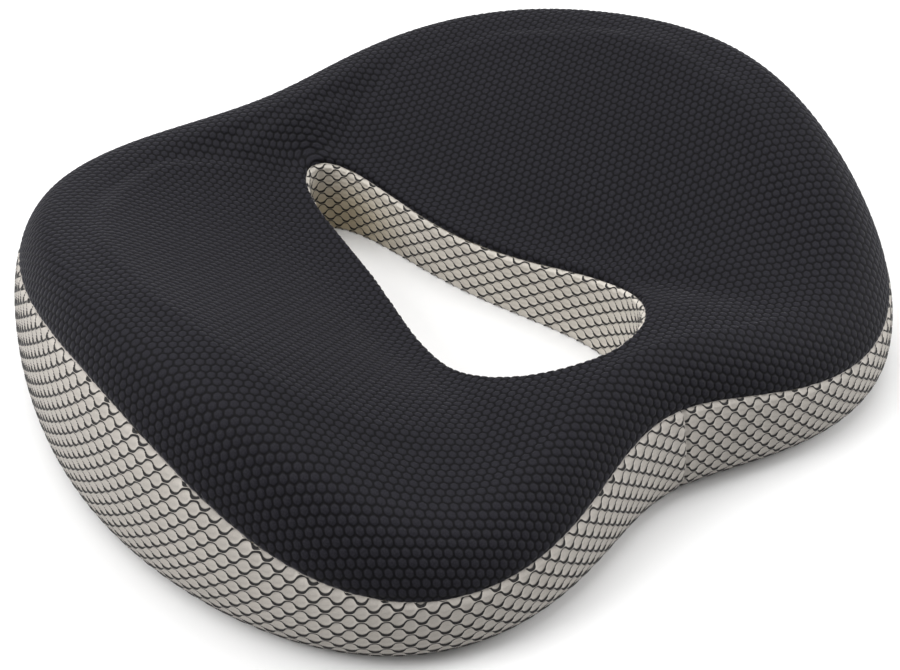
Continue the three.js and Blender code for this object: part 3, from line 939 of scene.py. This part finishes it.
def gripDots():
    # six-sided lattice of low domes: radius times cosine and sine of a quarter turn, tips on the floor
    columns, rows = (np.arange(-dots["reach"][k], dots["reach"][k], dots["pitch"] * (1, math.sqrt(3) / 2)[k])
                     for k in (0, 1))
    x, y = np.meshgrid(columns, rows, indexing="ij")
    x = x + np.where(np.arange(len(rows)) % 2, dots["pitch"] / 2, 0.0)[None]
    x, y = x.ravel(), y.ravel()
    fromCentre = y - holeCentre
    polar = np.arctan2(fromCentre, x)
    outline = (around("reach", polar) - around("tuckInset", polar)) * ringScale - dots["edge"] - 4 * mm
    halfLength = ring["holeHalfLength"] * ringScale
    inHole = np.arcsin(np.clip(fromCentre / halfLength, -1, 1))
    halfWidth = np.cos(inHole) * around("holeHalfWidth", inHole) * ringScale + dots["edge"]
    clear = (np.abs(x) > halfWidth) | (np.abs(fromCentre) > halfLength + dots["edge"])
    behindZip = y - foam["channelAt"]
    clear &= (np.abs(behindZip) > dots["zipHalf"]) & ~((behindZip > 0) & (np.abs(x) > dots["rearHalf"]))
    kept = clear & (np.hypot(x, fromCentre) < outline)
    x, y = x[kept], y[kept]
    lift = np.array([0.0, 0.35, 0.7]) * math.pi / 2
    angle = np.arange(dots["sides"]) * 2 * math.pi / dots["sides"]
    top = base["lift"] + 0.25 * mm                       # roots sink into the cloth
    ringR = dots["radius"] * np.cos(lift)
    ringZ = top * (1 - np.sin(lift))
    dome = np.stack([ringR[:, None] * np.cos(angle), -ringR[:, None] * np.sin(angle),
                     np.broadcast_to(ringZ[:, None], (len(ringZ), len(angle)))], -1)
    tips = np.stack([x, y, np.zeros(len(x))], -1)
    points = (tips[:, None, None] + dome).reshape(-1, 3)
    grid, after, sides = tubeFaces(len(x), len(lift), dots["sides"])
    tip = np.broadcast_to(len(points) + np.arange(len(x))[:, None], grid[:, -1].shape)
    caps = np.stack([grid[:, -1], after[:, -1], tip], -1).reshape(-1, 3)
    return makeMesh("gripDots", np.concatenate([points, tips]), [sides, caps, grid[:, 0, ::-1]])


# ---- zip

zipper = {
    "wire": 0.27 * mm,
    "turnPitch": 1.5 * mm,
    "turnSteps": 12,
    "stitchLength": 2.6 * mm,
    "stitchPitch": 3.4 * mm,
}


def flatRibbon(name, nodeName, count, rise, thin):
    # straight woven strip along a node's box, its height given by a function of the run and the share of it
    low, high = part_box(nodeName)
    share = np.linspace(0, 1, count)
    x = low[0] + (high[0] - low[0]) * share
    path = np.stack([x, np.full(count, (low[1] + high[1]) / 2), (low[2] + high[2]) / 2 + rise(x, share)], -1)
    piece = sweep(name, path[None], stripSection(high[1] - low[1], (high[2] - low[2]) * thin))
    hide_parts(nodeName)
    return piece


def zipTape(nodeName, name):
    return flatRibbon(name, nodeName, 160, lambda x, share: 0.05 * mm * np.sin(x * 140), 0.8)


def careLabel():
    # blank woven label, its free end curled a little: height rises with the square of the share
    return flatRibbon("careLabel", "care_label", 40, lambda x, share: (0.3 * share ** 2 - 0.12) * mm, 0.7)


def zipCoil(nodeName, name, side):
    # flattened spiral of thick nylon wire, its inner bends pressed wider into hooks
    low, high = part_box(nodeName)
    turnsCount = int((high[0] - low[0]) / zipper["turnPitch"])
    phase = np.arange(turnsCount * zipper["turnSteps"] + 1) * 2 * math.pi / zipper["turnSteps"]
    wire = zipper["wire"]
    halfY, halfZ = (high[1] - low[1]) / 2 - wire, (high[2] - low[2]) / 2 - wire
    x = low[0] + wire * 2 + (high[0] - low[0] - 4 * wire) * phase / phase[-1]
    hook = np.clip(side * np.cos(phase), 0, 1) ** 4
    y = (low[1] + high[1]) / 2 + halfY * np.cos(phase) + side * 0.22 * mm * hook
    z = (low[2] + high[2]) / 2 + halfZ * np.sin(phase)
    path = np.stack([x, y, z], -1)[None]
    piece = sweep(name, path, roundSection(6, wire), up=(1, 0, 0), scale=(1 + 0.3 * hook)[None])
    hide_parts(nodeName)
    return piece


def hemStitches():
    # short threads sunk into the hem at both ends: height dips as a cosine along each stitch
    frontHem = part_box("base_panel")[1][1]
    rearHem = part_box("rear_base_strip")[0][1]
    lines = [frontHem - 2.2 * mm, frontHem - 8.4 * mm, rearHem + 2.2 * mm, rearHem + 8.4 * mm]
    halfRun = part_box("zip_tape_front")[1][0] - 2 * mm
    starts = np.arange(-halfRun, halfRun, zipper["stitchPitch"])
    share = np.linspace(0, 1, 6)
    paths = [np.stack([start + share * zipper["stitchLength"], np.full(6, y),
                       base["lift"] - 0.1 * mm + 0.3 * mm * (2 * share - 1) ** 4], -1)
             for y in lines for start in starts]
    return sweep("hemStitches", paths, roundSection(6, 0.24 * mm))


foamPiece = foamCore()
basePiece = softCopy("basePanelMesh", "base_panel")
stripPiece = softCopy("rearStripMesh", "rear_base_strip")
liftUnderside(basePiece)
clearOfHole(basePiece, base["holeGap"])
liftUnderside(stripPiece)
dotsPiece = gripDots()
faceCounts = [len(piece.data.polygons) for piece in (foamPiece, basePiece, dotsPiece)]
print("foam, base and dots:", *faceCounts, "faces")
tapes = [zipTape("zip_tape_front", "frontTape"), zipTape("zip_tape_rear", "rearTape")]
coils = [zipCoil("zip_coil_front", "frontCoil", 1), zipCoil("zip_coil_rear", "rearCoil", -1)]
threads = hemStitches()
stops = [hardCopy("bottomStop", "zip_bottom_stop", 0.35 * mm),
         hardCopy("topStopFront", "zip_top_stop_front", 0.3 * mm),
         hardCopy("topStopRear", "zip_top_stop_rear", 0.3 * mm)]
sliderPiece = hardCopy("sliderBody", "zip_slider", 0.16 * mm)
tabPiece = hardCopy("pullTab", "zip_pull_tab", 0.2 * mm)
label = careLabel()
print("zip and label: done")


# ---- their finishes

def weaveGroup():
    # plain weave: two sets of threads that pass over each other in turn, as a height from 0 to 1
    nodes, given, result = newGroup("plainWeave", [("Place", vector), ("Thread", number)],
                                    [("Height", number)])
    waves = [nodes.math("SINE", nodes.times(nodes.over(part, given["Thread"]), math.pi))
             for part in nodes.split(given["Place"])[:2]]
    across = [nodes.size(value) for value in waves]
    pick = nodes.math("GREATER_THAN", nodes.times(*waves), 0.0)
    first = nodes.times(across[0], pick)
    second = nodes.times(across[1], nodes.minus(1.0, pick))
    nodes.plug(nodes.plus(first, second), result["Height"])
    return nodes.tree


def poreGroup():
    # open foam: pits of two sizes, painted dark in the middle as shade
    nodes, given, result = newGroup("foamPores", [("Place", vector)], [("Height", number)])
    pits = []
    for scale in (700.0, 1600.0):
        cells = nodes.put("ShaderNodeTexVoronoi")
        nodes.plug(given["Place"], cells.inputs["Vector"])
        cells.inputs["Scale"].default_value = scale
        pits.append(nodes.ramp(cells.outputs["Distance"], 0.15, 0.6, 0.0, 1.0))
    nodes.plug(nodes.times(pits[0], pits[1]), result["Height"])
    return nodes.tree


def wearGroup():
    # broad uneven tone and fine specks, as two masks
    nodes, given, result = newGroup("wear", [("Place", vector), ("Size", number)],
                                    [("Broad", number), ("Fine", number)])
    for label, factor in (("Broad", 1.0), ("Fine", 40.0)):
        scaled = nodes.put("ShaderNodeVectorMath", operation="SCALE")
        nodes.plug(given["Place"], scaled.inputs[0])
        nodes.plug(nodes.over(factor, given["Size"]), scaled.inputs["Scale"])
        nodes.plug(nodes.noise(scaled.outputs[0], 1.0, 3.0), result[label])
    return nodes.tree


groups.update(weave=weaveGroup(), pore=poreGroup(), wear=wearGroup())


def objectPlace(nodes):
    return nodes.put("ShaderNodeTexCoord").outputs["Object"]


def wovenMaterial(name, deep, pale, thread, roughness, depth):
    # threads painted paler on their crowns and darker between them, as painted light and shade of the weave,
    # dirtied a little by the broad wear mask
    material, nodes, shader = newMaterial(name, roughness)
    place = objectPlace(nodes)
    height = useGroup(nodes, "weave", Place=place, Thread=thread)["Height"]
    wear = useGroup(nodes, "wear", Place=place, Size=0.05)
    tone = nodes.math("MULTIPLY", height, nodes.plus(wear["Broad"], 0.5), clamp=True)
    nodes.plug(nodes.mix(tone, (*deep, 1), (*pale, 1)), shader.inputs["Base Color"])
    nodes.plug(nodes.plus(nodes.times(wear["Fine"], 0.2), roughness - 0.1), shader.inputs["Roughness"])
    bump(nodes, shader, height, depth, 0.8)
    setValues(shader, Specular_IOR_Level=0.25)
    return material


def foamMaterial():
    material, nodes, shader = newMaterial("mouldedFoam", 0.92)
    place = objectPlace(nodes)
    pores = useGroup(nodes, "pore", Place=place)["Height"]
    wear = useGroup(nodes, "wear", Place=place, Size=0.08)
    skin = nodes.mix(wear["Broad"], (0.74, 0.66, 0.5, 1), (0.85, 0.8, 0.68, 1))
    # painted shade in the pores; the skin between them is random tone
    body = nodes.mix(pores, (0.45, 0.38, 0.27, 1), skin)
    # painted shade: the foam over the channel is painted near-black, so that no foam shows beside the zip
    parts = nodes.split(place)
    channelShade = nodes.ramp(parts[2], foam["channelTop"], foam["channelTop"] + 1.5 * mm, 1.0, 0.0)
    for axis, middle in ((0, 0.0), (1, foam["channelAt"])):
        away = nodes.size(nodes.minus(parts[axis], middle))
        edge = foam["channelHalf"][axis] + foam["paintedShadeReach"]
        channelShade = nodes.times(channelShade, nodes.ramp(away, edge, edge + 0.5 * mm, 1.0, 0.0))
    nodes.plug(nodes.mix(channelShade, body, (0.012, 0.012, 0.013, 1)), shader.inputs["Base Color"])
    bump(nodes, shader, pores, 0.3 * mm, 0.8)
    setValues(shader, Subsurface_Weight=0.05)
    return material


def moulded(name, deep, pale, roughness, metallic=0.0, coat=0.0):
    # moulded or cast part: faint mottling, fine grain in the gloss, worn paler in broad patches
    material, nodes, shader = newMaterial(name, roughness, metallic)
    place = objectPlace(nodes)
    wear = useGroup(nodes, "wear", Place=place, Size=0.006)
    nodes.plug(nodes.mix(wear["Broad"], (*deep, 1), (*pale, 1)), shader.inputs["Base Color"])
    nodes.plug(nodes.plus(nodes.times(wear["Fine"], 0.25), roughness - 0.12), shader.inputs["Roughness"])
    bump(nodes, shader, wear["Fine"], 0.04 * mm, 0.5)
    setValues(shader, Coat_Weight=coat)
    return material


# darker and paler colour, then thread pitch, roughness and depth, or roughness, metal and coat
materials.update(
    foam=foamMaterial(),
    base=wovenMaterial("baseCloth", (0.006, 0.006, 0.007), (0.035, 0.035, 0.038), 0.7 * mm, 0.85, 0.2 * mm),
    tape=wovenMaterial("zipTapeCloth", (0.006, 0.006, 0.006), (0.03, 0.03, 0.031), 0.45 * mm, 0.8, 0.12 * mm),
    label=wovenMaterial("labelCloth", (0.62, 0.62, 0.6), (0.86, 0.86, 0.84), 0.3 * mm, 0.65, 0.06 * mm),
    dots=moulded("siliconeDots", (0.012, 0.012, 0.013), (0.03, 0.03, 0.032), 0.45),
    coil=moulded("nylonCoil", (0.01, 0.01, 0.01), (0.025, 0.025, 0.026), 0.38, coat=0.1),
    thread=moulded("sewingThread", (0.012, 0.012, 0.013), (0.05, 0.05, 0.052), 0.7),
    metal=moulded("paintedMetal", (0.015, 0.015, 0.016), (0.05, 0.05, 0.053), 0.36, 0.6, 0.3),
    stop=moulded("bareMetal", (0.42, 0.42, 0.43), (0.66, 0.66, 0.67), 0.34, 1.0),
)
finishes = [
    ([foamPiece], "foam", "foam", "cushion"),
    ([basePiece, stripPiece], "base", "grip_fabric", "cushion"),
    ([dotsPiece], "dots", "grip_fabric", "cushion"),
    ([threads], "thread", "zip_tape", "cushion"),
    ([sliderPiece], "metal", "zip_metal", "slider"),
    ([tabPiece], "metal", "zip_metal", "pull_tab"),
    ([label], "label", "label", "cushion"),
    (tapes, "tape", "zip_tape", "cushion"),
    (coils, "coil", "zip_coil", "cushion"),
    (stops, "stop", "zip_stop", "cushion"),
    ([sideBandPiece], "grey", "grey_mesh", "cushion"),
    ([holeBandPiece], "holeGreyPaintedLight", "grey_mesh", "cushion"),
    ([topPanelPiece], "black", "black_mesh", "cushion"),
]
for pieces, key, slotName, body in finishes:
    for piece in pieces:
        piece.data.materials.append(materials[key])
        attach(piece, body)
print("finishes:", len(materials))


# ---- floor, light and camera

stage = {
    "floorSize": 6.0,
    "floorSeen": (0.9, 0.9, 0.9, 1),
    "floorBounce": (0.6, 0.6, 0.6, 1),   # throws less light on the sides than a white floor would
    "lens": 71.65,
    "target": (0.0, -0.0152, 0.0262),
    "distance": 0.9493,
    "azimuth": -39.73,
    "elevation": 39.1,
    "roll": 0.67,
    "shift": (-0.0154, -0.031),
    "world": 0.34,
    "lights": {                          # place, size, power, and the point it faces
        "topLight": ((0.0, 0.4, 1.7), 2.0, 32, (0, 0, 0)),
        "leftLight": ((-1.3, 0.45, 1.1), 0.9, 16, (0, 0, 0.04)),
        "rightLight": ((1.35, -0.75, 0.75), 0.9, 16, (0.05, 0, 0.03)),
    },
}


def makeStage():
    corners = np.array([(-1, -1, 0), (1, -1, 0), (1, 1, 0), (-1, 1, 0)]) * stage["floorSize"] / 2
    floor = makeMesh("floor", corners, [[[0, 1, 2, 3]]])
    material, nodes, shader = newMaterial("paleFloor", 0.9)
    seen = nodes.put("ShaderNodeLightPath").outputs["Is Camera Ray"]
    nodes.plug(nodes.mix(seen, stage["floorBounce"], stage["floorSeen"]), shader.inputs["Base Color"])
    floor.data.materials.append(material)
    world = bpy.data.worlds.new("studio")
    bpy.context.scene.world = world
    world.use_nodes = True
    sky = world.node_tree.nodes["Background"].inputs
    sky[0].default_value = (1, 1, 1, 1)
    sky[1].default_value = stage["world"]
    for name, (place, size, power, aim) in stage["lights"].items():
        data = bpy.data.lights.new(name, "AREA")
        data.size = size
        data.energy = power
        lamp = placed(name, data)
        lamp.location = place
        lamp.rotation_euler = (Vector(aim) - Vector(place)).to_track_quat("-Z", "Y").to_euler()


def makeCamera():
    data = bpy.data.cameras.new("camera")
    data.lens = stage["lens"]
    data.sensor_width = 36.0
    data.shift_x, data.shift_y = stage["shift"]
    data.clip_start = 0.01
    camera = placed("camera", data)
    azimuth, elevation = math.radians(stage["azimuth"]), math.radians(stage["elevation"])
    back = Vector((math.sin(azimuth) * math.cos(elevation), -math.cos(azimuth) * math.cos(elevation),
                   math.sin(elevation)))
    look = (-back).to_track_quat("-Z", "Y").to_matrix().to_4x4()
    roll = Matrix.Rotation(math.radians(stage["roll"]), 4, "Z")
    camera.matrix_world = Matrix.Translation(Vector(stage["target"]) + back * stage["distance"]) @ look @ roll
    bpy.context.scene.camera = camera


makeStage()
makeCamera()
bpy.context.scene.view_settings.view_transform = "Standard"
